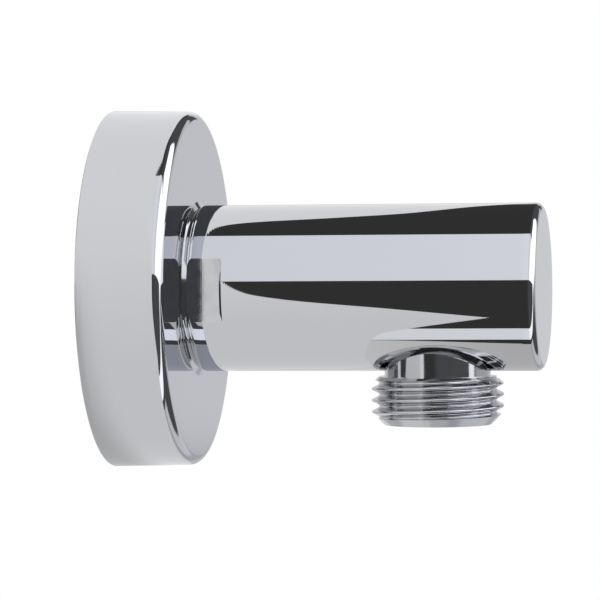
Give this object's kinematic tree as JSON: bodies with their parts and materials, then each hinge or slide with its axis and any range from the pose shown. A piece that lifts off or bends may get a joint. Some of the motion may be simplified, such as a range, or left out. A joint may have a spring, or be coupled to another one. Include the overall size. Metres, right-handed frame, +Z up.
{
  "type": "wall outlet elbow",
  "caption": "Round chromed shower hose outlet: a horizontal arm on a round wall flange, with a threaded hose nipple pointing down under its closed front end.",
  "frame": {"origin": "on the arm's axis, in the plane of the wall, which the flange's rear rim touches", "axes": "+X along the arm, away from the wall; +Z up; the hose nipple points along -Z"},
  "size_m": [0.069, 0.057, 0.057],
  "materials": {
    "polished_chrome": "mirror polished chrome plate on brass",
    "turned_chrome": "chrome plate on turned brass, fine turning lines",
    "flange_chrome": "polished chrome plate on pressed brass",
    "black_rubber": "soft satin rubber"
  },
  "bodies": {
    "root": {"arm_body": "polished_chrome", "outlet_nipple": "turned_chrome", "wall_flange": "flange_chrome", "flange_ring": "black_rubber"}
  },
  "joints": []
}
